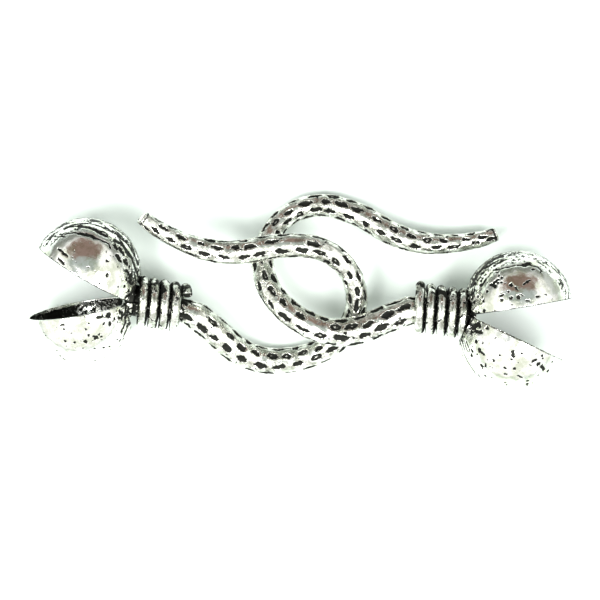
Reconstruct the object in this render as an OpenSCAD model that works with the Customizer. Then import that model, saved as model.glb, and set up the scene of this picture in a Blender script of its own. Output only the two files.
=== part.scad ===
// Crimp end clasp: two cast hooks caught in each other, each bound with wire to a pair of
// cups that close over a cord end. Both halves are the same part, the right one turned over.
// Millimetres, +X towards the right half, +Z up, lying as it rests on a table.

/* [Hook rod] */
// Radius of the rod just outside the wire
rod_r = 1.76; // [1.65:0.01:1.78]
// Radius of the rod's stub inside the wire
stub_r = 1.4; // [1.3:0.05:1.4]
// Radius of the rod at the far side of its bight
bight_r = 1.32; // [1.25:0.01:1.36]
// Radius of the tail's cut end
tip_r = 0.85; // [0.7:0.05:0.9]
// Flats around the rod
rod_sides = 18; // [14:2:20]

/* [Wire wrap] */
// Radius of the wire
wire_r = 0.6; // [0.55:0.01:0.62]
// Distance from one turn to the next
wire_pitch = 1.35; // [1.33:0.01:1.38]
// Number of turns on the left collar
left_turns = 4.2; // [3.8:0.1:4.2]
// Number of turns on the right collar
right_turns = 4.4; // [4:0.1:4.4]
// How far the wire's cut end stands off the wrap
wire_end_lift = 0.25; // [0:0.05:0.3]

/* [Cups] */
// Outer radius of a cup
cup_r = 6.67; // [6.6:0.01:6.67]
// Thickness of a cup's wall
cup_wall = 0.45; // [0.35:0.05:0.55]
// Straight lip between a cup's round and its rim
cup_lip = 0.35; // [0.2:0.05:0.4]
// Length of the half tube by which the wire holds a cup
tongue_l = 4; // [3:0.5:4.5]
// Angle between the rims of the left pair of cups
left_mouth = 40.5; // [36:0.5:42]
// Angle between the rims of the right pair of cups
right_mouth = 34.7; // [32:0.1:36]

/* [Lie of the left half] */
// Turn of the left collar in the table's plane
left_yaw = -10.6; // [-10.8:0.1:-10.4]
// Slope of the left hook down to the table
left_pitch = 7.5; // [7.2:0.1:7.5]
// Roll of the left hook about its collar
left_hook_roll = 24; // [23:0.5:25]
// Turn of the left cups and their wire in the table's plane
left_cup_yaw = -10; // [-10.6:0.1:-9.8]
// Roll of the left cups about their collar
left_cup_roll = 6.6; // [5:0.1:8]

/* [Lie of the right half] */
// Turn of the right collar in the table's plane
right_yaw = 9; // [8.8:0.1:9.2]
// Slope of the right hook down to the table
right_pitch = 3.8; // [3.6:0.1:3.8]
// Roll of the right hook about its collar
right_hook_roll = -18; // [-18.5:0.5:-17.5]
// Turn of the right cups and their wire in the table's plane
right_cup_yaw = 8.2; // [8:0.1:9]
// Roll of the right cups about their collar
right_cup_roll = 1.2; // [0:0.1:2]

/* [Hidden] */

// A collar's axis is X, from the hinge line between the cups' rims out towards the hook.
// The rod leaves it in the XY plane through these arcs: [length along the rod, turn].
LENGTH = 0;
TURN = 1;
bends = [
    [3, -5],     // still inside the wire
    [2.5, -25],  // neck
    [5, -4],     // shank
    [6.5, 45],   // into the bight
    [7, 34],
    [12, 88],    // far side
    [6.5, 53],
    [6, 20],     // over the shank
    [8, -35],    // tail sways back
    [7.5, -21],
];
bend_start = 3;
stub_start = -0.3;
rod_step = 1;

// Radius of the rod: [distance along the bends, radius]
sections = [
    [0, stub_r], [3, stub_r + 0.05], [4, 0.91 * rod_r], [4.7, rod_r], [12, rod_r],
    [18, 0.94 * rod_r], [31, bight_r + 0.04], [36, bight_r], [42, bight_r + 0.13],
    [50, 0.86 * rod_r], [55, 0.77 * rod_r], [58, 1.38 * tip_r], [60.5, 1.23 * tip_r],
    [62.5, 1.1 * tip_r], [63.8, tip_r], [64, 0.87 * tip_r],
];

// The wire's bore takes the rod's stub and, round it, the cups' tongues
gap = 0.1;
tongue_wall = 0.45;
bore_r = stub_r + gap;
tongue_r = bore_r + tongue_wall;
wrap_r = tongue_r + gap + wire_r;
wire_steps = 22;
wire_sides = 12;
wire_end_turn = 30;

// The hinge line lies a little inside each cup's round. The end wall stands beside the first
// turn of wire, and the cup is notched round the wrap.
hinge_reach = 6.3;
end_wall = 0.45;
end_wall_r = 5;
end_wall_x = -0.75;
notch_x = end_wall_x + end_wall;
notch_r = wrap_r + wire_r + gap;
neck_end_r = 2.9;
cup_sides = 96;

// Longer than any cut has to run
cut = 20;

// Each half: where its hinge line stands, how far its hook is drawn out of the collar, how far
// the cups' neck reaches along it, and where along it, at what angle round it and with how many
// turns the wire is wound
left_hinge = [-21.02, -0.88, 6.25];
right_hinge = [21, -2.8, 6.33];
left_draw = 0.7;
right_draw = -0.7;
left_neck = 0.4;
right_neck = -0.3;
left_wire = [1.15, -27, left_turns];
right_wire = [0.4, -158, right_turns];

function total(rows, n, column) = n == 0 ? 0 : rows[n - 1][column] + total(rows, n - 1, column);

headings = [for (i = [0 : len(bends)]) [total(bends, i, LENGTH), total(bends, i, TURN)]];
rod_length = total(bends, len(bends), LENGTH);
function heading(s) = lookup(s, headings);
function along(s) = [cos(heading(s)), sin(heading(s)), 0];

// Points of the rod's centre line, each a step on from the last
rod_line = [for (s = 0, p = [bend_start, 0, 0]; s <= rod_length;
                 p = p + rod_step * along(s + rod_step / 2), s = s + rod_step) p];

function ring(centre, out, side, r, count) =
    [for (j = [0 : count - 1]) centre + r * (cos(360 * j / count) * out + sin(360 * j / count) * side)];

function rod_ring(i) =
    ring(rod_line[i], [-sin(heading(i * rod_step)), cos(heading(i * rod_step)), 0], [0, 0, 1],
         lookup(i * rod_step, sections), rod_sides);

// A tube closed at both ends, from its rings of points
module tube(rings) {
    n = len(rings);
    m = len(rings[0]);
    polyhedron(
        points = [for (r = rings) each r],
        faces = [
            [for (j = [0 : m - 1]) j],
            [for (j = [m - 1 : -1 : 0]) (n - 1) * m + j],
            for (i = [0 : n - 2], j = [0 : m - 1])
                [i * m + j, (i + 1) * m + j, (i + 1) * m + (j + 1) % m, i * m + (j + 1) % m],
        ]
    );
}

module hook() {
    color("silver")
    tube([
        ring([stub_start, 0, 0], [0, 1, 0], [0, 0, 1], stub_r, rod_sides),
        for (i = [0 : len(rod_line) - 1]) rod_ring(i),
    ]);
}

// One ring of the wire at an angle past its start
function wire_ring(start, turned) =
    let (
        a = start[1] + turned,
        rise = wire_pitch / 360,
        last = max(0, turned - 360 * start[2] + wire_end_turn) / wire_end_turn,
        r = wrap_r + wire_end_lift * last,
        out = [0, cos(a), sin(a)],
        slope = atan(wire_pitch / (2 * PI * wrap_r)),
        side = [-cos(slope), -sin(slope) * sin(a), sin(slope) * cos(a)]
    )
    ring([start[0] + rise * turned, 0, 0] + r * out, out, side, wire_r, wire_sides);

module wrap(start) {
    turn_step = 360 / wire_steps;
    color("gray")
    tube([for (t = [0 : turn_step : 360 * start[2]]) wire_ring(start, t)]);
}

// A round bottom with a straight lip, open to -Y at the XZ plane
module bowl(r) {
    rotate([-90, 0, 0]) {
        translate([0, 0, cup_lip]) sphere(r, $fn = cup_sides);
        cylinder(h = cup_lip, r = r, $fn = cup_sides);
    }
}

// Turn a cup open about the hinge line
module opened(mouth) {
    rotate([0, 0, -mouth / 2]) translate([-hinge_reach, 0, 0]) children();
}

// A round bar along the collar's axis
module bar(start, length, r) {
    translate([start, 0, 0]) rotate([0, 90, 0]) cylinder(h = length, r = r, $fn = cup_sides);
}

// Everything south of a plane
module south_of(y) {
    translate([-cut / 2, y - cut, -cut / 2]) cube(cut);
}

// The north cup of a pair: a bowl, an end wall round the rod, a neck that narrows towards the
// wire and a half tube under it
module cup(mouth, neck) {
    color("gainsboro")
    difference() {
        union() {
            difference() {
                opened(mouth)
                difference() {
                    bowl(cup_r);
                    bowl(cup_r - cup_wall);
                    south_of(0);
                }
                bar(notch_x, cut, notch_r);
            }
            intersection() {
                opened(mouth) bowl(cup_r - cup_wall / 2);
                bar(end_wall_x, end_wall, end_wall_r);
            }
            translate([end_wall_x, 0, 0]) rotate([0, 90, 0])
            cylinder(h = neck - end_wall_x, r1 = notch_r, r2 = neck_end_r, $fn = cup_sides);
            bar(end_wall_x, end_wall + tongue_l, tongue_r);
        }
        bar(-cut / 2, cut, bore_r);
        south_of(gap / 2);
    }
}

// Set a piece where its half lies
module left_half(roll, yaw) {
    translate(left_hinge) rotate([roll, left_pitch, yaw]) children();
}

module right_half(roll, yaw) {
    translate(right_hinge) rotate([roll, -right_pitch, -yaw]) rotate([0, 180, 0]) children();
}

module left_collar() left_half(left_cup_roll, left_cup_yaw) children();
module right_collar() right_half(right_cup_roll, right_cup_yaw) children();

module hook_left() left_half(left_hook_roll, left_yaw) translate([left_draw, 0, 0]) hook();
module hook_right() right_half(right_hook_roll, right_yaw) translate([right_draw, 0, 0]) hook();
module wrap_left() left_collar() wrap(left_wire);
module wrap_right() right_collar() wrap(right_wire);
module cup_upper_left() left_collar() cup(left_mouth, left_neck);
module cup_lower_left() left_collar() mirror([0, 1, 0]) cup(left_mouth, left_neck);
module cup_upper_right() right_collar() cup(right_mouth, right_neck);
module cup_lower_right() right_collar() mirror([0, 1, 0]) cup(right_mouth, right_neck);

hook_left();
hook_right();
wrap_left();
wrap_right();
cup_upper_left();
cup_lower_left();
cup_upper_right();
cup_lower_right();
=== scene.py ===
import math
import random

import bmesh
import bpy
from mathutils import Matrix, Vector, noise
from mathutils.bvhtree import BVHTree
from mathutils.kdtree import KDTree


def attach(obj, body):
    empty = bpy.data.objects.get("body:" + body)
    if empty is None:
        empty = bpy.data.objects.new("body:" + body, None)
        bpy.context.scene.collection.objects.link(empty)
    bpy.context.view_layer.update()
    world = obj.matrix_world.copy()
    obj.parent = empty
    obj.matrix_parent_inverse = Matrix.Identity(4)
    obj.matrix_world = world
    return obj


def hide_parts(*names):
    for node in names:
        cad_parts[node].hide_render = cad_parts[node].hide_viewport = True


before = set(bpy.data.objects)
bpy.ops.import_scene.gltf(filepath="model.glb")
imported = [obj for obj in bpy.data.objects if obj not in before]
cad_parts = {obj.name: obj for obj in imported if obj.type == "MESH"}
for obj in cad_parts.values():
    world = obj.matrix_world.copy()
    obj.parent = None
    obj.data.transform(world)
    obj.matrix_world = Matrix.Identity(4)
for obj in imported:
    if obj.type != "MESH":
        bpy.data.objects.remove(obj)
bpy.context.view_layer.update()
mm = 0.001

# The two hooks. Each is one casting in antiqued silver alloy: a round rod with a stub for the
# wire, an open bight and a long tail that thins to a cut end. Rows of oval pits, black with
# old tarnish, run along it like a snake's spots. The right hook is the same casting turned over.
ROD_BENDS = [            # length along the rod in mm, turn in degrees
    (3, -5),             # still inside the wire
    (2.5, -25),          # neck
    (5, -4),             # shank
    (6.5, 45),           # into the bight
    (7, 34),
    (12, 88),            # far side
    (6.5, 53),
    (6, 20),             # over the shank
    (8, -35),            # tail sways back
    (7.5, -21),
]
ROD_RADII = [            # distance along the bends in mm, radius in mm
    (0, 1.4), (3, 1.45), (4, 1.6), (4.7, 1.76), (12, 1.76), (18, 1.65), (31, 1.36), (36, 1.32),
    (42, 1.45), (50, 1.51), (55, 1.36), (58, 1.17), (60.5, 1.05), (62.5, 0.94), (63.8, 0.85),
]
THICK_ROD_R = 1.76
STUB_START = -0.3
STUB_STEPS = 12
BEND_START = 3.0
ROD_STEP = 0.12
ROD_SIDES = 96
TIP_ROUND = 0.14

HINGES = {"left": (-21.02, -0.88, 6.25), "right": (21.0, -2.8, 6.33)}
PITCHES = {"left": 7.5, "right": 3.8}
HOOK_YAWS = {"left": -10.6, "right": 9.0}
HOOK_ROLLS = {"left": 24.0, "right": -18.0}
HOOK_DRAWS = {"left": 0.7, "right": -0.7}


def lie(side, roll, yaw):
    """Where a half lies on the table, in mm: its own X runs from the cups' hinge to the hook."""
    turn = 1 if side == "left" else -1
    half = (Matrix.Translation(Vector(HINGES[side]))
            @ Matrix.Rotation(math.radians(yaw * turn), 4, "Z")
            @ Matrix.Rotation(math.radians(PITCHES[side] * turn), 4, "Y")
            @ Matrix.Rotation(math.radians(roll), 4, "X"))
    if side == "left":
        return half
    return half @ Matrix.Rotation(math.pi, 4, "Y")


def between(table, at):
    """The value of a short table of (place, value) rows at a place."""
    for (a, low), (b, high) in zip(table, table[1:]):
        if at <= b:
            return low + (high - low) * max(0.0, (at - a) / (b - a))
    return table[-1][1]


def smooth(low, high, value):
    """An even rise from 0 at low to 1 at high."""
    t = min(1.0, max(0.0, (value - low) / (high - low)))
    return t * t * (3 - 2 * t)


def band(start, full, fade, end, value):
    """1 between full and fade, and 0 before start and past end."""
    return smooth(start, full, value) * (1 - smooth(fade, end, value))


def ripple(place, waves):
    """Noise at a place, added up over rows of (size, waves per mm)."""
    return sum(size * noise.noise(place * often) for size, often in waves)


def mottled(row, *patterns):
    """A row's first number, plus a share of each pattern as its other numbers say."""
    level, *shares = row
    return level + sum(share * pattern for share, pattern in zip(shares, patterns))


def rod_line():
    """Stations along the rod: (distance along the bends, centre, heading in radians)."""
    headings = [(0.0, 0.0)]
    for length, turn in ROD_BENDS:
        headings.append((headings[-1][0] + length, headings[-1][1] + turn))
    stations = []
    for i in range(STUB_STEPS):
        x = STUB_START + (BEND_START - STUB_START) * i / STUB_STEPS
        stations.append((0.0, Vector((x, 0, 0)), 0.0))
    count = round(headings[-1][0] / ROD_STEP)
    step = headings[-1][0] / count
    centre = Vector((BEND_START, 0, 0))
    for i in range(count + 1):
        stations.append((i * step, centre.copy(), math.radians(between(headings, i * step))))
        middle = math.radians(between(headings, (i + 0.5) * step))
        centre += step * Vector((math.cos(middle), math.sin(middle), 0))
    return stations


PIT_SEED = 11
PIT_ROWS = 8
PIT_STEP = 2.35                    # mm from one pit to the next in its row
PIT_FIRST = 3.3                    # mm along the rod
PIT_LAST = 63.2
PIT_HALF = 0.84                    # half a pit's length in mm, where the rod is thick
PIT_DEPTH = 0.2
PIT_LENGTHS = (0.75, 1.35)         # least and most, as a share of the usual length
PIT_WIDTHS = (0.52, 0.76)          # as a share of the row's width
PIT_DEPTHS = (0.75, 1.1)           # as a share of the usual depth
PIT_STRAY = 0.35                   # mm along the rod
PIT_TWIST = 0.1                    # radians round it
PIT_LEAN = 0.5                     # mm along for each mm round
PITS_MISSING = 0.05                # share of all pits
PITS_RUBBED = 0.3
RUBBED_BRIGHT = 0.6


def rod_pits():
    """The pits: (distance along, angle, half length, half width, lean, depth, rubbed)."""
    chance = random.Random(PIT_SEED)
    pits = []
    for k in range(int((PIT_LAST - PIT_FIRST) / PIT_STEP) + 1):
        for j in range(PIT_ROWS):
            stagger = 0.5 * (j % 2)
            along = PIT_FIRST + PIT_STEP * (k + stagger) + chance.uniform(-PIT_STRAY, PIT_STRAY)
            r = between(ROD_RADII, along)
            slim = (1 + r / THICK_ROD_R) / 2
            long = PIT_HALF * chance.uniform(*PIT_LENGTHS) * slim
            wide = math.pi * r / PIT_ROWS * chance.uniform(*PIT_WIDTHS)
            angle = math.tau * j / PIT_ROWS + chance.uniform(-PIT_TWIST, PIT_TWIST)
            lean = chance.uniform(-PIT_LEAN, PIT_LEAN)
            depth = PIT_DEPTH * chance.uniform(*PIT_DEPTHS)
            rubbed = RUBBED_BRIGHT * (chance.random() < PITS_RUBBED)
            if along < PIT_LAST and chance.random() > PITS_MISSING:
                pits.append((along, angle, long, wide, lean, depth, rubbed))
    return pits


# The parts of a pit, from its middle outwards. A pit's half size is 1.
PIT_FLOOR = (0.1, 0.55)
PIT_WALL = (0.5, 1.08)
PIT_BLACK = (0.7, 1.15)
PIT_BRIM = (0.9, 1.15, 1.2, 1.6)
# Painted shade: a grey halo and a thin dark ring round each pit, for the shade on its brim.
PIT_SHADE_HALO = (1.1, 1.6)
PIT_SHADE_RING = (1.15, 1.3, 1.4, 1.6)
PIT_END = 1.6
PIT_WOBBLE = [(0.2, 1.8), (0.1, 4.6)]      # mm, waves per mm
BRIM_HEIGHT = 0.035
HALO_SHADE = 0.25
RING_SHADE = 0.42

# A dark line along both sides of the rod is painted shade, for the shaded table seen in its
# edges. The neck by the wire and the cut end are black too. The line's row and NECK_BLACK give
# the level, and then the share of the patches in it.
SIDE_SHADE_EDGE = (0.05, 0.15)                   # mm from the line
SIDE_SHADE_SWAY = [(0.05, 2.3)]
SIDE_SHADE_BLACK = (0.55, 0.8)
SIDE_SHADE_PATCHES = 0.9                         # waves per mm
NECK_END = (2.6, 4.4)                      # mm along the rod
NECK_BLACK = (0.75, 0.9)
NECK_PATCHES = 2.4
TIP_RING = (63.4, 63.5, 63.6, 64.0)        # mm along the rod
TIP_BLACK = 0.65


def pitted(pits, along, angle, r):
    """How deep the rod is sunk at a place, and how black it is there."""
    around = Vector((along, math.cos(angle) * r, math.sin(angle) * r))
    # Painted shade: a ragged dark line along both sides of the rod, for the shaded table seen
    # there.
    side_shade_off = min(abs(angle), math.pi - abs(angle)) * r + ripple(around, SIDE_SHADE_SWAY)
    side_shade_patches = noise.noise(around * SIDE_SHADE_PATCHES)
    side_shade = (1 - smooth(*SIDE_SHADE_EDGE, abs(side_shade_off))) * mottled(SIDE_SHADE_BLACK, side_shade_patches)
    neck_patches = noise.noise(around * NECK_PATCHES)
    neck = (1 - smooth(*NECK_END, along)) * mottled(NECK_BLACK, neck_patches)
    tip = TIP_BLACK * band(*TIP_RING, along)
    shift = Vector()
    for size, often in PIT_WOBBLE:
        shift += size * noise.noise_vector(around * often)
    sunk, brim, black = 0.0, 0.0, max(0.0, side_shade, neck, tip)
    for at, turn, long, wide, lean, depth, rubbed in pits:
        off = (angle - turn + math.pi) % math.tau - math.pi
        y = off * r + shift.y
        x = along - at + shift.x + lean * y
        q = math.hypot(x / long, y / wide)
        if q < PIT_END:
            sunk = max(sunk, depth * (1 - smooth(*PIT_WALL, q)))
            brim = max(brim, band(*PIT_BRIM, q))
            core = (1 - smooth(*PIT_BLACK, q)) * (1 - rubbed * (1 - smooth(*PIT_FLOOR, q)))
            # Painted shade round the pit: a grey halo and a thin dark ring.
            halo_shade = HALO_SHADE * (1 - smooth(*PIT_SHADE_HALO, q))
            ring_shade = RING_SHADE * band(*PIT_SHADE_RING, q)
            black = max(black, core, halo_shade, ring_shade)
    if sunk == 0:
        sunk = -BRIM_HEIGHT * brim
    return sunk, black


def sweep(rings, sides):
    """A closed tube. Each ring gives the point at an angle round the tube, and how black it is."""
    tube = bmesh.new()
    angle = tube.verts.layers.float.new("angle")
    black = tube.verts.layers.float.new("tarnish")
    edge = bmesh.ops.create_circle(tube, segments=sides, radius=1)["verts"]
    for v in edge:
        v[angle] = math.atan2(v.co.y, v.co.x)
    loop = list(tube.edges)
    for number, point in enumerate(rings):
        if number:
            made = bmesh.ops.extrude_edge_only(tube, edges=loop)["geom"]
            edge = [g for g in made if isinstance(g, bmesh.types.BMVert)]
            loop = [g for g in made if isinstance(g, bmesh.types.BMEdge)]
        for v in edge:
            v.co, v[black] = point(v[angle])
    bmesh.ops.holes_fill(tube, edges=[e for e in tube.edges if e.is_boundary], sides=0)
    bmesh.ops.recalc_face_normals(tube, faces=tube.faces)
    return tube


def round_ends(tube, width):
    """Take the sharp edge off both cut ends of a tube."""
    ends = [f for f in tube.faces if len(f.verts) > 4]
    rims = [e for f in ends for e in f.edges]
    bmesh.ops.bevel(tube, geom=rims, affect="EDGES", offset=width, segments=3, profile=0.5,
                    material=-1)


ROD_SKIN = [(0.05, 0.8), (0.02, 2.6), (0.008, 6.5)]     # mm, waves per mm
PIT_MARGIN = 0.4                                        # mm


def cast_hook():
    """One hook in its own frame, in mm."""
    noise.seed_set(PIT_SEED)
    pits = rod_pits()

    def ring_at(along, centre, heading):
        near = [pit for pit in pits if along > 0 and abs(pit[0] - along) < 2 * pit[2] + PIT_MARGIN]
        out = Vector((-math.sin(heading), math.cos(heading), 0))
        up = Vector((0, 0, 1))
        r = between(ROD_RADII, along)

        def point(angle):
            sunk, black = pitted(near, along, angle, r)
            way = math.cos(angle) * out + math.sin(angle) * up
            uneven = ripple(centre + r * way, ROD_SKIN)
            return centre + (r - sunk + uneven) * way, black

        return point

    casting = sweep([ring_at(*station) for station in rod_line()], ROD_SIDES)
    round_ends(casting, TIP_ROUND)
    return casting


def join(tree, source, socket, target, name):
    tree.links.new(source.outputs[socket], target.inputs[name])


def ramp(tree, low, high, low_value=0.0, high_value=1.0):
    node = tree.nodes.new("ShaderNodeMapRange")
    node.interpolation_type = "SMOOTHSTEP"
    node.inputs["From Min"].default_value = low
    node.inputs["From Max"].default_value = high
    node.inputs["To Min"].default_value = low_value
    node.inputs["To Max"].default_value = high_value
    return node


def grain(tree, place, scale, detail, roughness):
    node = tree.nodes.new("ShaderNodeTexNoise")
    node.inputs["Scale"].default_value = scale
    node.inputs["Detail"].default_value = detail
    node.inputs["Roughness"].default_value = roughness
    join(tree, place, "Object", node, "Vector")
    return node


def combine(tree, operation, first, second, third=None):
    node = tree.nodes.new("ShaderNodeMath")
    node.operation = operation
    for socket, value in zip(node.inputs, (first, second, third)):
        if isinstance(value, (int, float)):
            socket.default_value = value
        elif value is not None:
            tree.links.new(value, socket)
    return node.outputs[0]


def mix_colours(tree, first, second, factor):
    node = tree.nodes.new("ShaderNodeMix")
    node.data_type = "RGBA"
    for socket, value in zip((node.inputs[6], node.inputs[7]), (first, second)):
        if isinstance(value, tuple):
            socket.default_value = (*value, 1)
        else:
            tree.links.new(value, socket)
    tree.links.new(factor, node.inputs[0])
    return node.outputs[2]


TARNISH_COLOUR = (0.022, 0.023, 0.020)
TARNISH_EDGE = (0.38, 0.6)         # where the metal turns black
TARNISH_FRAY = 1.5                 # how far grain moves that edge
TARNISH_ROUGHNESS = 0.45
TARNISH_SINK = 0.8                 # how deep it lies, as a share of the relief
SPECK_EDGE = 0.03
DULL_CLOUDS = (0.4, 0.66)
SCUFFS = (0.3, 0.75)
SMOOTHEST = 0.7                    # share of a metal's usual roughness
ROUGHEST = 1.6
RELIEF_HEIGHT = 0.05               # mm


def antique_silver(name, bright, dull, roughness, speck_from, cloud_scale, relief_depth):
    """Silver plate, bright where it was rubbed, with black tarnish left in the hollows."""
    material = bpy.data.materials.new(name)
    material.use_nodes = True
    tree = material.node_tree
    shader = tree.nodes["Principled BSDF"]
    shader.inputs["Metallic"].default_value = 1.0
    place = tree.nodes.new("ShaderNodeTexCoord")
    hollow = tree.nodes.new("ShaderNodeAttribute")
    hollow.attribute_name = "tarnish"

    frays = grain(tree, place, scale=3200, detail=5.0, roughness=0.7)
    ragged = combine(tree, "MULTIPLY_ADD", frays.outputs["Fac"], TARNISH_FRAY, -TARNISH_FRAY / 2)
    frayed = combine(tree, "ADD", hollow.outputs["Fac"], ragged)
    black = ramp(tree, *TARNISH_EDGE)
    tree.links.new(frayed, black.inputs["Value"])
    specks = grain(tree, place, scale=1500, detail=2.0, roughness=0.5)
    speck = ramp(tree, speck_from, speck_from + SPECK_EDGE)
    join(tree, specks, "Fac", speck, "Value")
    dark = combine(tree, "MAXIMUM", black.outputs[0], speck.outputs[0])

    clouds = grain(tree, place, cloud_scale, detail=5.0, roughness=0.65)
    cloud = ramp(tree, *DULL_CLOUDS)
    join(tree, clouds, "Fac", cloud, "Value")
    metal = mix_colours(tree, bright, dull, cloud.outputs[0])
    colour = mix_colours(tree, metal, TARNISH_COLOUR, dark)
    tree.links.new(colour, shader.inputs["Base Color"])

    scuffs = grain(tree, place, scale=900, detail=5.0, roughness=0.7)
    polish = ramp(tree, *SCUFFS, roughness * SMOOTHEST, roughness * ROUGHEST)
    join(tree, scuffs, "Fac", polish, "Value")
    rough = combine(tree, "MULTIPLY_ADD", dark, TARNISH_ROUGHNESS, polish.outputs[0])
    tree.links.new(rough, shader.inputs["Roughness"])
    height = combine(tree, "MULTIPLY_ADD", dark, -TARNISH_SINK, scuffs.outputs["Fac"])
    relief = tree.nodes.new("ShaderNodeBump")
    relief.inputs["Strength"].default_value = relief_depth
    relief.inputs["Distance"].default_value = RELIEF_HEIGHT * mm
    tree.links.new(height, relief.inputs["Height"])
    join(tree, relief, "Normal", shader, "Normal")
    return material


def finish_piece(shape, name, place, node, material):
    """Put a shape in mm where it lies, as a piece of the clasp that stands for its CAD node."""
    shape.transform(Matrix.Scale(mm, 4) @ place)
    mesh = bpy.data.meshes.new(name)
    shape.to_mesh(mesh)
    shape.free()
    mesh.shade_smooth()
    mesh.materials.append(material)
    piece = bpy.data.objects.new(name, mesh)
    bpy.context.scene.collection.objects.link(piece)
    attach(piece, "root")
    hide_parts(node)


cast_silver = antique_silver("cast_silver", bright=(0.84, 0.855, 0.79), dull=(0.4, 0.41, 0.35),
                             roughness=0.19, speck_from=0.66, cloud_scale=900, relief_depth=0.6)
casting = cast_hook()
for side in ("left", "right"):
    place = lie(side, HOOK_ROLLS[side], HOOK_YAWS[side])
    drawn = Matrix.Translation(Vector((HOOK_DRAWS[side], 0, 0)))
    finish_piece(casting.copy(), "cast_hook_" + side, place @ drawn, "hook_" + side,
                 cast_silver)
casting.free()

# The wire wraps. Four turns and a bit of round wire, wound tight by hand over the rod's stub and
# the cups' tongues, hold each half together. The wire's snipped end stands a little proud. Old
# tarnish lies between its turns and inside, and painted shade darkens its north side.
WIRE_R = 0.6
WIRE_COIL_R = 2.65
WIRE_PITCH = 1.35
WIRE_STEPS = 90
WIRE_SIDES = 30
WIRE_WORN = 0.01
WIRE_LIFT = 0.25
WIRE_LIFT_TURN = 30
WIRE_TIP_ROUND = 0.12
WIRE_DENTS = [(0.02, 1.7), (0.012, 4.3)]       # mm, waves per mm
WIRE_SWAY = 0.035
WIRE_SWAY_TURN = 47                            # degrees that a wave of it takes
WIRE_SWAY_ROW = 3.0                            # which row of the noise it follows
WIRE_WINDS = {           # start along the collar in mm, start in degrees round it, turns
    "left": (1.15, -27.0, 4.2),
    "right": (0.4, -158.0, 4.4),
}
WIRE_FLECKS = [(1.0, 2.3), (0.6, 5.1)]
WIRE_PATCHES = 1.5                             # waves per mm
GROOVE_BLACK = (0.85, 0.5)                     # level, share of the flecks
GROOVE_TOP = (WIRE_COIL_R + 0.26, WIRE_COIL_R + 0.61)
# The north side's darkening is painted shade.
NORTH_SHADE = (0.42, 1.0, 0.4)                 # level, share of the patches, of the flecks
NORTH_SIDE = (-0.1, 0.8)                       # cosine from due north
CUT_BLACK = (0.65, 0.6)                        # level, share of the flecks
CUT_START = 0.96                               # share of the wire's length
OPEN_START = 400                               # degrees before the wire's end
OPEN_FULL = 320
OPEN_SIDE = (-0.2, 0.5)                        # sine of the angle round the wire
OPEN_BRIGHT = 0.9
CUP_ROLLS = {"left": 6.6, "right": 1.2}
CUP_YAWS = {"left": -10.0, "right": 8.2}


def wound_wire(start, first_angle, turns):
    """One wrap in its collar's frame, in mm. The last turn has no neighbour on one side, so that
    side stays bright."""
    slope = math.atan(WIRE_PITCH / (math.tau * WIRE_COIL_R))
    whole = 360 * turns
    steps = round(WIRE_STEPS * turns)

    def tarnished_and_shaded(spot, angle, last_turn, cut_end):
        from_axis = math.hypot(spot.y, spot.z)
        fleck = ripple(spot, WIRE_FLECKS)
        groove = mottled(GROOVE_BLACK, fleck) - smooth(*GROOVE_TOP, from_axis)
        groove *= 1 - OPEN_BRIGHT * last_turn * smooth(*OPEN_SIDE, math.sin(angle))
        patches = noise.noise(spot * WIRE_PATCHES)
        # Painted shade on the wire's north side.
        north = smooth(*NORTH_SIDE, spot.y / from_axis) * mottled(NORTH_SHADE, patches, fleck)
        return max(0.0, groove, north, cut_end * mottled(CUT_BLACK, fleck))

    def ring_at(turned):
        a = math.radians(first_angle + turned)
        lift = max(0.0, turned - whole + WIRE_LIFT_TURN) / WIRE_LIFT_TURN
        out = Vector((0, math.cos(a), math.sin(a)))
        side = Vector((math.cos(slope), math.sin(slope) * math.sin(a),
                       -math.sin(slope) * math.cos(a)))
        sway = noise.noise(Vector((turned / WIRE_SWAY_TURN, WIRE_SWAY_ROW, start)))
        along = start + WIRE_PITCH * turned / 360 + WIRE_SWAY * sway
        centre = Vector((along, 0, 0)) + (WIRE_COIL_R + WIRE_LIFT * lift) * out
        last_turn = smooth(whole - OPEN_START, whole - OPEN_FULL, turned)
        cut_end = smooth(CUT_START * whole, whole, turned)

        def point(angle):
            way = math.cos(angle) * out + math.sin(angle) * side
            dent = ripple(centre + WIRE_R * way, WIRE_DENTS)
            spot = centre + (WIRE_R - WIRE_WORN + dent) * way
            return spot, tarnished_and_shaded(spot, angle, last_turn, cut_end)

        return point

    wire = sweep([ring_at(whole * i / steps) for i in range(steps + 1)], WIRE_SIDES)
    round_ends(wire, WIRE_TIP_ROUND)
    return wire


wire_silver = antique_silver("wire_silver", bright=(0.75, 0.77, 0.71), dull=(0.26, 0.27, 0.22),
                             roughness=0.2, speck_from=0.64, cloud_scale=900, relief_depth=0.7)
for side in ("left", "right"):
    place = lie(side, CUP_ROLLS[side], CUP_YAWS[side])
    finish_piece(wound_wire(*WIRE_WINDS[side]), "binding_wire_" + side, place, "wrap_" + side,
                 wire_silver)

# The cups. Each is pressed from sheet as half a globe with a tongue under the wire, and the two
# gape until pliers close them on a cord. Old tarnish blackens the inside, the neck by the wire
# and the pits, creases and scratches of the outside. A few long dark lines on the upper cups are
# painted reflections.
CUP_R = 6.67
CUP_WALL = 0.45
CUP_LIP = 0.35
HINGE_REACH = 6.3
CUP_GRAIN = 0.11                   # mm, the size of its faces
MOUTHS = {"left": 40.5, "right": 34.7}

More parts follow.
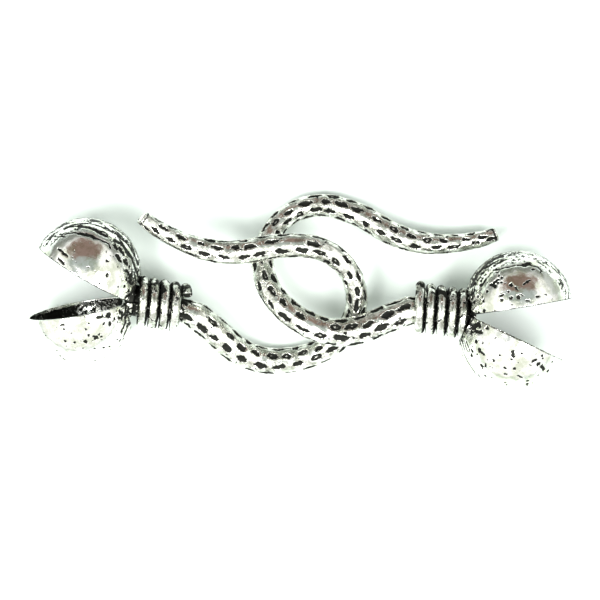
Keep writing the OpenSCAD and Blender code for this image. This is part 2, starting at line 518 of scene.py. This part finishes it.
# The marks that stand out: half their width, then the points they run through, all in mm from
# the middle of the view from above. A mark with one point is a pit. How black the rim is comes
# first.
CUP_MARKS = {
    "upper_left": (0.8, [
        (0.16, (-24.1, 3.1)),
        (0.06, (-26.8, 10.3), (-26.4, 10.2)),
        (0.07, (-26.7, 9.9), (-26.2, 9.7)),
        (0.08, (-25.3, 9.8)),
        (0.07, (-25.1, 9.6)),
        (0.08, (-23.75, 9.3), (-23.2, 8.9)),
        (0.11, (-24.3, 9.1), (-23.7, 8.7), (-23.0, 8.25)),
        # Painted reflections: the next three long lines along the north-east rim, for the hook's
        # tail and the shaded table seen in the metal.
        (0.06, (-22.25, 8.4), (-21.3, 7.4), (-20.5, 6.0), (-19.9, 4.6), (-19.7, 3.5)),
        (0.11, (-22.7, 7.9), (-21.8, 7.3), (-21.2, 6.5), (-20.5, 5.2), (-20.2, 4.6)),
        (0.17, (-23.1, 7.4), (-22.25, 7.0), (-21.5, 6.0), (-21.0, 5.2), (-20.7, 4.4), (-20.4, 3.5),
         (-20.2, 2.8)),
        (0.19, (-22.5, 6.4), (-22.1, 5.8)),
        (0.14, (-23.2, 6.8), (-22.9, 6.4)),
        (0.19, (-22.8, 5.5), (-22.5, 5.0)),
        (0.17, (-21.9, 4.8), (-21.6, 4.5)),
        (0.14, (-21.7, 3.7), (-21.4, 3.3)),
        (0.12, (-21.3, 4.2)),
        (0.12, (-21.2, 2.6), (-21.1, 2.1)),
        (0.1, (-21.7, 2.6)),
        (0.1, (-21.9, 1.7)),
        (0.1, (-20.7, 3.4), (-20.5, 2.4)),
        (0.08, (-32.1, 7.6), (-31.5, 8.0)),
        (0.08, (-31.3, 8.3), (-30.75, 8.6)),
        (0.06, (-30.9, 9.1)),
        (0.04, (-30.6, 7.9), (-29.4, 7.9)),
        # Painted reflections: the next five marks are dark arcs across the cup's north, for dark
        # lines low in the north seen in the metal.
        (0.06, (-29.5, 8.8), (-28.9, 9.1), (-28.1, 9.2), (-27.3, 9.2)),
        (0.15, (-27.6, 9.2), (-26.4, 9.05), (-25.6, 8.75), (-24.8, 8.3), (-24.3, 8.0)),
        (0.06, (-30.0, 8.2), (-28.9, 8.3), (-28.3, 8.4), (-27.5, 8.3)),
        (0.16, (-27.6, 8.3), (-26.8, 8.2), (-26.1, 8.0), (-25.7, 7.75)),
        (0.08, (-25.7, 7.75), (-24.85, 7.5), (-23.9, 7.0), (-23.7, 6.5)),
        (0.07, (-30.2, 6.4), (-29.1, 5.5)),
        (0.07, (-30.2, 5.2), (-29.5, 4.5)),
        (0.08, (-31.1, 5.2)),
        (0.18, (-20.9, 2.2)),
        (0.16, (-21.4, 1.1)),
        (0.14, (-21.7, 0.3)),
    ]),
    "lower_left": (0.1, [
        (0.1, (-25.3, -2.2), (-24.6, -2.0)),
        (0.26, (-23.9, -1.9)),
        (0.14, (-22.5, -1.4)),
        (0.08, (-22.3, -2.2), (-21.9, -1.7)),
        (0.12, (-23.8, -2.9), (-23.7, -3.1)),
        (0.09, (-24.5, -3.0)),
        (0.12, (-21.7, -2.7), (-22.3, -3.9)),
        (0.13, (-21.4, -3.0), (-22.0, -4.5)),
        (0.14, (-22.5, -5.1)),
        (0.07, (-22.9, -6.1), (-22.6, -5.8)),
        (0.24, (-25.5, -4.7)),
        (0.1, (-24.8, -4.6)),
        (0.17, (-26.8, -5.2)),
        (0.1, (-23.8, -5.8)),
        (0.08, (-29.9, -3.2), (-29.6, -3.1)),
        (0.12, (-33.9, -5.0)),
        (0.09, (-33.5, -5.5), (-33.3, -5.6)),
        (0.09, (-31.6, -6.6)),
        (0.14, (-29.5, -7.4)),
        (0.09, (-30.0, -7.0)),
        (0.05, (-26.2, -7.8), (-25.5, -7.6)),
        (0.09, (-24.5, -7.2)),
    ]),
    "upper_right": (0.7, [
        # Painted reflection: the first three marks, along the north-west rim, for the shaded table
        # and tail seen in the metal.
        (0.1, (21.5, 2.8), (22.1, 3.8), (23.0, 4.5), (24.1, 5.2), (25.0, 5.5), (25.9, 5.8)),
        (0.25, (21.4, 1.8), (22.1, 3.2), (23.4, 4.6), (24.5, 5.2)),
        (0.14, (24.5, 5.2), (25.3, 5.45)),
        (0.16, (23.2, 4.0), (24.1, 4.6)),
        (0.12, (23.6, 4.2)),
        (0.12, (24.3, 4.3)),
        (0.1, (21.6, 2.6)),
        (0.12, (21.9, 2.1)),
        (0.1, (21.5, 1.7)),
        (0.12, (21.8, 1.2)),
        (0.14, (21.5, 0.7)),
        (0.1, (22.2, 0.4)),
        (0.14, (21.8, -0.2)),
        (0.1, (22.9, -0.1)),
        (0.08, (27.8, 5.5)),
        (0.08, (26.7, 5.0)),
        (0.08, (30.8, 4.7)),
        (0.12, (24.9, 3.1)),
        (0.12, (24.2, 2.1), (24.7, 2.5)),
        (0.13, (23.8, 1.9), (24.4, 1.7)),
        (0.14, (22.6, 1.9)),
        (0.14, (23.4, 1.1)),
        (0.08, (25.0, 0.5), (25.4, 0.7)),
        (0.17, (26.4, 1.9)),
        (0.07, (26.9, 1.6), (27.2, 1.2)),
        (0.05, (27.9, 1.9), (28.3, 2.3), (28.7, 2.45)),
        (0.14, (26.4, 0.3)),
        (0.16, (27.3, 0.4)),
        (0.12, (25.2, 0.0)),
        (0.06, (28.3, -0.1), (28.7, -0.1)),
        (0.07, (29.6, 0.4), (29.9, 0.4)),
        (0.2, (28.0, 4.35), (28.5, 4.5)),
        (0.07, (27.2, 4.3), (28.0, 4.35)),
        (0.13, (29.1, 3.8)),
        (0.05, (24.4, 3.7), (25.6, 4.0), (26.9, 4.3)),
        (0.05, (28.8, 4.3), (29.7, 4.1), (30.3, 3.5)),
        (0.15, (23.0, -1.4)),
        (0.1, (22.3, -1.6)),
        (0.07, (24.3, -1.4)),
    ]),
    "lower_right": (0.6, [
        (0.24, (21.5, -3.3), (22.3, -3.1)),
        (0.12, (21.9, -3.9), (22.7, -4.1)),
        (0.12, (23.4, -3.5)),
        (0.14, (22.0, -5.2)),
        (0.18, (22.4, -6.3)),
        (0.1, (22.7, -6.6), (23.0, -6.8)),
        (0.15, (21.4, -6.9)),
        (0.09, (22.6, -8.1), (22.8, -8.3)),
        (0.06, (23.2, -8.0), (23.2, -8.4)),
        (0.14, (26.6, -6.5), (26.7, -7.0)),
        (0.14, (26.8, -8.6)),
        (0.08, (27.7, -6.7)),
        (0.1, (29.1, -7.7), (29.5, -7.5)),
        (0.17, (29.8, -8.0)),
        (0.15, (30.2, -8.3), (30.5, -8.7)),
        (0.15, (31.0, -8.9)),
        (0.12, (30.3, -7.0)),
        (0.07, (27.3, -9.5), (27.8, -9.7)),
        (0.12, (28.4, -10.5)),
        (0.06, (24.1, -11.1), (24.7, -11.3), (25.3, -11.6)),
        (0.05, (20.2, -5.0), (20.6, -6.3)),
        (0.05, (20.5, -5.0), (20.9, -6.4)),
        (0.05, (20.8, -5.2), (21.2, -6.3)),
        (0.06, (20.1, -5.5), (20.45, -6.7), (20.95, -7.7), (21.8, -9.0)),
    ]),
}


def cup_lie(side, turn):
    """Where a cup's collar lies, and in that frame the way its bottom faces and the centre of its
    round. The turn is 1 for the north cup of a pair and -1 for the south one."""
    place = lie(side, CUP_ROLLS[side], CUP_YAWS[side])
    opened = Matrix.Rotation(math.radians(-turn * MOUTHS[side] / 2), 4, "Z")
    bottom = opened @ Vector((0, turn, 0))
    centre = opened @ Vector((-HINGE_REACH, 0, 0)) + CUP_LIP * bottom
    return place, bottom, centre


def pressed_blank(node, place):
    """The CAD cup in its collar's frame, in mm, as fine and even faces."""
    raw = bmesh.new()
    raw.from_mesh(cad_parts[node].data)
    raw.transform(place.inverted() @ Matrix.Scale(1 / mm, 4))
    bmesh.ops.remove_doubles(raw, verts=raw.verts, dist=0.001)
    mesh = bpy.data.meshes.new("blank")
    raw.to_mesh(mesh)
    raw.free()
    blank = bpy.data.objects.new("blank", mesh)
    bpy.context.scene.collection.objects.link(blank)
    remesh = blank.modifiers.new("remesh", "REMESH")
    remesh.mode = "VOXEL"
    remesh.voxel_size = CUP_GRAIN
    depsgraph = bpy.context.evaluated_depsgraph_get()
    even = bpy.data.meshes.new_from_object(blank.evaluated_get(depsgraph))
    bpy.data.objects.remove(blank)
    bpy.data.meshes.remove(mesh)
    cup = bmesh.new()
    cup.from_mesh(even)
    bpy.data.meshes.remove(even)
    return cup


# The sheet is beaten a little uneven, and its neck is pleated where it runs in under the wire.
SKIN_NEAR = 0.09                   # mm that a face may lie off the round and belong to it
BEATEN_WIDE = (0.045, 0.5)         # mm, waves per mm
BEATEN_FINE = [(0.018, 1.4)]
BEATEN_BAND = [(0.02, 3.1)]
BEATEN_INSIDE = [(0.02, 0.8)]
BEATEN_DOWN = 0.03
PLEATS = 18
PLEAT_HEIGHT = 0.03

# Where the tarnish lies. Lengths are in mm and patterns in waves per mm.
NECK_REACH = (2.4, 6.0)            # from the hinge
BAND_FOOT = (-4.0, -0.5)           # above the cup's centre
BAND_TOP = (3.0, 5.8)
BAND_LEAST = 0.55                  # share that is left below its foot
BAND_NORTH = (-0.6, 0.3)           # share of the radius
RIM_EDGE = 0.1
RUBBED_INSIDE = (0.6, 2.4, 4.8, 7.0)       # out from the hinge
TONGUE_START = (0.2, 0.6)          # along the collar
LIP_EDGE = (0.2, 0.7)              # in from the rim
LIP_FRAY = 0.2
LIP_BLACK = (0.1, 2.5)             # at the rim, and how much more further in
PATCHES = 2.1
FLECKS = 5.3
STREAKS_ROUND = 3.2
STREAKS_UP = 2.6
STREAKS_APART = 5.0                # from one cup's streaks to the next one's
CUP_BLACK = {                      # level, share of the patches, of the streaks, of the flecks
    "neck": (0.55, 0.9, 0.0, 0.7),
    "band": (0.4, 0.4, 1.1, 0.7),
    "inside": (0.76, 0.0, 0.0, 0.3),
    "rubbed": (0.32, 0.7, 0.0, 0.8),
    "tongue": (0.8, 0.0, 0.0, 0.7),
}
PLEAT_BLACK = (0.5, -0.4)          # level, share of the pleats


def beat_cup(cup, place, bottom, centre, rim_black, seed):
    """Make a cup's skin uneven, and blacken it by where it lies."""
    black = cup.verts.layers.float.new("tarnish")
    outer, inner = CUP_R, CUP_R - CUP_WALL
    for v in cup.verts:
        arm = v.co - centre
        depth = arm.dot(bottom)
        if depth < 0:
            arm = arm - depth * bottom
        reach = arm.length
        neck = 1 - smooth(*NECK_REACH, v.co.length)
        lain = place @ v.co - place @ centre
        ring = BAND_LEAST + (1 - BAND_LEAST) * smooth(*BAND_FOOT, lain.z)
        ring *= (1 - smooth(*BAND_TOP, lain.z)) * smooth(*BAND_NORTH, arm.y / outer)
        around = math.atan2(lain.y, lain.x)
        streak = Vector((STREAKS_ROUND * around, STREAKS_APART * seed, STREAKS_UP * lain.z))
        fleck = noise.noise(v.co * FLECKS)
        patterns = (noise.noise(v.co * PATCHES + Vector((0, seed, 0))), noise.noise(streak), fleck)
        grime = max(neck * mottled(CUP_BLACK["neck"], *patterns),
                    ring * mottled(CUP_BLACK["band"], *patterns))
        if abs(reach - outer) < SKIN_NEAR:
            size, often = BEATEN_WIDE
            beaten = size * noise.noise(v.co * often + Vector((seed, 0, 0)))
            beaten += ripple(v.co, BEATEN_FINE) + ring * ripple(v.co, BEATEN_BAND)
            pleat = math.sin(PLEATS * math.atan2(v.co.z, v.co.y))
            beaten += PLEAT_HEIGHT * pleat * neck - BEATEN_DOWN
            v.co += arm / reach * (outer + beaten - reach)
            at_rim = depth < RIM_EDGE - CUP_LIP
            v[black] = max(grime, rim_black * at_rim, neck * mottled(PLEAT_BLACK, pleat))
        elif abs(reach - inner) < SKIN_NEAR:
            v.co += arm / reach * (inner + ripple(v.co, BEATEN_INSIDE) - reach)
            rubbed = band(*RUBBED_INSIDE, -v.co.x) * mottled(CUP_BLACK["rubbed"], *patterns)
            from_rim = depth + CUP_LIP + LIP_FRAY * fleck
            v[black] = min(mottled(CUP_BLACK["inside"], *patterns) - rubbed,
                           mottled(LIP_BLACK, smooth(*LIP_EDGE, from_rim)))
        else:
            tongue = smooth(*TONGUE_START, v.co.x) * mottled(CUP_BLACK["tongue"], *patterns)
            v[black] = max(grime, rim_black, tongue)


EYE = Vector((0.131, -0.945, 225))     # where the camera stands, in mm
EYE_FOCUS = 5                      # mm above the table, where the marks' places are measured
MARK_STEP = 0.06
MARK_DEPTH = 0.06
MARK_DEEP = 0.12                   # half the width from which a mark has its full depth
MARK_REACH = (0.08, 2.4)           # mm, and share of half its width
MARK_SPREAD = (0.05, 1.45)
MARK_EDGE = (0.5, 1.35)
MARK_RAGGED = [(0.5, 3.7)]
FINE_SPECKS = 220
SPECK_HALF = (0.03, 0.1)
SPECK_SIZE = (0.8, 0.7)            # away from the wire, and how much more beside it
SPECK_CHANCE = (0.2, 0.8)
SPECK_SIDE = (-0.4, 1.0)           # cosine from the way to the wire


def run_along(points, step):
    """Points a step apart along a line through the given ones."""
    yield Vector(points[0])
    for start, end in zip(points, points[1:]):
        start, end = Vector(start), Vector(end)
        count = math.ceil((end - start).length / step)
        for i in range(1, count + 1):
            yield start.lerp(end, i / count)


def mark_cup(cup, place, centre, marks, seed):
    """Press the marks and some fine specks into a cup, and blacken them."""
    black = cup.verts.layers.float["tarnish"]
    sunk = cup.verts.layers.float.new("sunk")
    cup.verts.ensure_lookup_table()
    skin = KDTree(len(cup.verts))
    for v in cup.verts:
        skin.insert(v.co, v.index)
    skin.balance()
    hull = BVHTree.FromBMesh(cup)

    def mark(spot, half):
        for at, index, off in skin.find_range(spot, mottled(MARK_REACH, half)):
            v = cup.verts[index]
            share = off / mottled(MARK_SPREAD, half) + ripple(at, MARK_RAGGED)
            deep = 1 - smooth(*MARK_EDGE, share)
            v[black] = max(v[black], deep)
            v[sunk] = max(v[sunk], deep * min(1.0, half / MARK_DEEP))

    eye = place.inverted() @ EYE
    for half, *points in marks:
        for point in run_along(points, MARK_STEP):
            seen = Vector((EYE.x + point.x, EYE.y + point.y, EYE_FOCUS))
            hit = hull.ray_cast(eye, place.inverted() @ seen - eye)[0]
            if hit is not None:
                mark(hit, half)
    chance = random.Random(seed)
    for i in range(FINE_SPECKS):
        way = Vector((chance.gauss(0, 1), chance.gauss(0, 1), chance.gauss(0, 1))).normalized()
        near_wire = smooth(*SPECK_SIDE, way.x)
        if chance.random() < mottled(SPECK_CHANCE, near_wire):
            half = chance.uniform(*SPECK_HALF) * mottled(SPECK_SIZE, near_wire)
            mark(centre + CUP_R * way, half)
    for v in cup.verts:
        if v[sunk] > 0:
            v.co -= (v.co - centre).normalized() * MARK_DEPTH * v[sunk]


cup_silver = antique_silver("cup_silver", bright=(0.9, 0.91, 0.87), dull=(0.64, 0.67, 0.55),
                            roughness=0.09, speck_from=0.67, cloud_scale=600, relief_depth=0.5)
for seed, (key, (rim_black, marks)) in enumerate(CUP_MARKS.items()):
    level, side = key.split("_")
    place, bottom, centre = cup_lie(side, 1 if level == "upper" else -1)
    cup = pressed_blank("cup_" + key, place)
    beat_cup(cup, place, bottom, centre, rim_black, seed)
    mark_cup(cup, place, centre, marks, seed)
    finish_piece(cup, "crimp_cup_" + key, place, "cup_" + key, cup_silver)

# The table. A plain sheet of white paper, laid flat, that catches the clasp's soft shadows.
TABLE_HALF = 1.2
PAPER_COLOURS = ((0.86, 0.93, 0.88), (0.89, 0.96, 0.91))
table_mesh = bmesh.new()
bmesh.ops.create_grid(table_mesh, x_segments=4, y_segments=4, size=TABLE_HALF)
table_data = bpy.data.meshes.new("table")
table_mesh.to_mesh(table_data)
table_mesh.free()
table = bpy.data.objects.new("table", table_data)
bpy.context.scene.collection.objects.link(table)
paper = bpy.data.materials.new("white_paper")
paper.use_nodes = True
paper_tree = paper.node_tree
paper_shader = paper_tree.nodes["Principled BSDF"]
paper_shader.inputs["Roughness"].default_value = 0.9
paper_place = paper_tree.nodes.new("ShaderNodeTexCoord")
paper_clouds = grain(paper_tree, paper_place, scale=60, detail=2.0, roughness=0.6)
paper_colour = mix_colours(paper_tree, *PAPER_COLOURS, paper_clouds.outputs["Fac"])
paper_tree.links.new(paper_colour, paper_shader.inputs["Base Color"])
table_data.materials.append(paper)

# The light. A white tent lights the clasp from all round and shines in its metal. It is dark low
# in the north, with a grey opening high up there and a warm brown one below it. Lamps stand
# close by at the left and the right.
TENT_LIGHT = 0.46
TENT_LIGHT_LOW = 0.35              # share near the table, and straight overhead
TENT_LIGHT_HIGH = 1.9
TENT_LIGHT_RISE = (0.3, 0.95)      # height as a sine
TENT_GLOW = (0.95, 1.0, 0.97)
TENT_SHINE = 1.3
TENT_WHITE = (1.0, 1.0, 0.98)
NORTH_GREY = (0.2, 0.21, 0.19)
NORTHWARD = (-0.1, 0.5)
LOW_DOWN = (0.5, 0.1)
OPENINGS = [             # the way it lies, its edge from and to as a cosine, colour
    ((0.0, 0.40, 0.91), 0.89, 0.97, (0.36, 0.40, 0.385)),
    ((0.0, 0.77, 0.64), 0.9, 0.96, (0.22, 0.155, 0.13)),
]
OPENING_SPREAD = 1.8
OPENING_TEAR = 0.17
LAMPS = [                # name, place in m, size in m, power in W
    ("left_lamp", (-0.07, -0.045, 0.15), 0.07, 0.32),
    ("right_lamp", (0.075, -0.045, 0.14), 0.07, 0.22),
]
world = bpy.data.worlds.new("tent")
bpy.context.scene.world = world
world.use_nodes = True
tent = world.node_tree
ray = tent.nodes.new("ShaderNodeLightPath")
way = tent.nodes.new("ShaderNodeTexCoord")
narrowed = tent.nodes.new("ShaderNodeVectorMath")
narrowed.operation = "MULTIPLY"
narrowed.inputs[1].default_value = (1 / OPENING_SPREAD, 1, 1)
tent.links.new(way.outputs["Generated"], narrowed.inputs[0])
unit = tent.nodes.new("ShaderNodeVectorMath")
unit.operation = "NORMALIZE"
tent.links.new(narrowed.outputs[0], unit.inputs[0])
parts = tent.nodes.new("ShaderNodeSeparateXYZ")
tent.links.new(way.outputs["Generated"], parts.inputs[0])
northward = ramp(tent, *NORTHWARD)
join(tent, parts, "Y", northward, "Value")
low_down = ramp(tent, *LOW_DOWN)
join(tent, parts, "Z", low_down, "Value")
dim = combine(tent, "MULTIPLY", northward.outputs[0], low_down.outputs[0])
shine_colour = mix_colours(tent, TENT_WHITE, NORTH_GREY, dim)
tears = tent.nodes.new("ShaderNodeTexNoise")
tears.inputs["Scale"].default_value = 9
tears.inputs["Detail"].default_value = 3
tent.links.new(way.outputs["Generated"], tears.inputs["Vector"])
for toward, edge_from, edge_to, colour in OPENINGS:
    cosine = tent.nodes.new("ShaderNodeVectorMath")
    cosine.operation = "DOT_PRODUCT"
    cosine.inputs[1].default_value = Vector(toward).normalized()
    tent.links.new(unit.outputs[0], cosine.inputs[0])
    torn = combine(tent, "MULTIPLY_ADD", tears.outputs["Fac"], OPENING_TEAR,
                   cosine.outputs["Value"])
    opening = ramp(tent, edge_from + OPENING_TEAR / 2, edge_to + OPENING_TEAR / 2)
    tent.links.new(torn, opening.inputs["Value"])
    shine_colour = mix_colours(tent, shine_colour, colour, opening.outputs[0])
glow = tent.nodes["Background"]
glow.inputs["Color"].default_value = (*TENT_GLOW, 1)
overhead = ramp(tent, *TENT_LIGHT_RISE, TENT_LIGHT_LOW * TENT_LIGHT, TENT_LIGHT_HIGH * TENT_LIGHT)
join(tent, parts, "Z", overhead, "Value")
tent.links.new(overhead.outputs[0], glow.inputs["Strength"])
shine = tent.nodes.new("ShaderNodeBackground")
shine.inputs["Strength"].default_value = TENT_SHINE
tent.links.new(shine_colour, shine.inputs["Color"])
seen_in_metal = tent.nodes.new("ShaderNodeMixShader")
join(tent, ray, "Is Glossy Ray", seen_in_metal, "Fac")
tent.links.new(glow.outputs[0], seen_in_metal.inputs[1])
tent.links.new(shine.outputs[0], seen_in_metal.inputs[2])
tent.links.new(seen_in_metal.outputs[0], tent.nodes["World Output"].inputs["Surface"])
for name, place, size, power in LAMPS:
    lamp = bpy.data.lights.new(name, "AREA")
    lamp.shape = "SQUARE"
    lamp.size = size
    lamp.energy = power
    holder = bpy.data.objects.new(name, lamp)
    holder.location = place
    holder.rotation_euler = (-Vector(place)).to_track_quat("-Z", "Y").to_euler()
    bpy.context.scene.collection.objects.link(holder)

# The tent's seams and a grey card. Thin dark strips low in the north draw fine lines in the
# metal, and the card stands in the east.
SEAMS = [                # from (x, y) to (x, y), from z to z, in mm
    ((-70, 45), (70, 45), 6.2, 8.8),
    ((-60, 45), (-5, 45), 2.6, 5.2),
    ((-55, 45), (-15, 45), 0.1, 1.8),
    ((80, 56), (98, 18), 0.1, 34),
]
CARD = 3                 # the card's row
SEAM_CLOTHS = [          # name, its darkest and lightest grey
    ("seam_black", 0.02, 0.05),
    ("card_grey", 0.3, 0.5),
]
seam_data = bpy.data.meshes.new("tent_seams")
for name, dark, light in SEAM_CLOTHS:
    cloth = bpy.data.materials.new(name)
    cloth.use_nodes = True
    cloth_tree = cloth.node_tree
    cloth_place = cloth_tree.nodes.new("ShaderNodeTexCoord")
    cloth_grain = grain(cloth_tree, cloth_place, scale=90, detail=2.0, roughness=0.6)
    cloth_colour = mix_colours(cloth_tree, (dark, dark, dark), (light, light, light),
                               cloth_grain.outputs["Fac"])
    cloth_tree.links.new(cloth_colour, cloth_tree.nodes["Principled BSDF"].inputs["Base Color"])
    seam_data.materials.append(cloth)
seam_mesh = bmesh.new()
for number, (start, end, low_edge, high_edge) in enumerate(SEAMS):
    strip = bmesh.ops.create_grid(seam_mesh, x_segments=8, y_segments=2, size=0.5)["verts"]
    for v in strip:
        ground = Vector(start).lerp(Vector(end), v.co.x + 0.5)
        v.co = mm * Vector((*ground, low_edge + (high_edge - low_edge) * (v.co.y + 0.5)))
        for f in v.link_faces:
            f.material_index = int(number == CARD)
seam_mesh.to_mesh(seam_data)
seam_mesh.free()
seams = bpy.data.objects.new("tent_seams", seam_data)
bpy.context.scene.collection.objects.link(seams)
seams.visible_camera = False
seams.visible_diffuse = False
seams.visible_shadow = False

# The camera, straight above the clasp as in the photo.
SEEN_WIDTH = 75
view = bpy.data.cameras.new("camera")
view.sensor_width = 36
view.lens = view.sensor_width * (EYE.z - EYE_FOCUS) / SEEN_WIDTH
view.clip_start = 0.01
camera = bpy.data.objects.new("camera", view)
camera.location = EYE * mm
bpy.context.scene.collection.objects.link(camera)
bpy.context.scene.camera = camera
bpy.context.scene.view_settings.view_transform = "Standard"
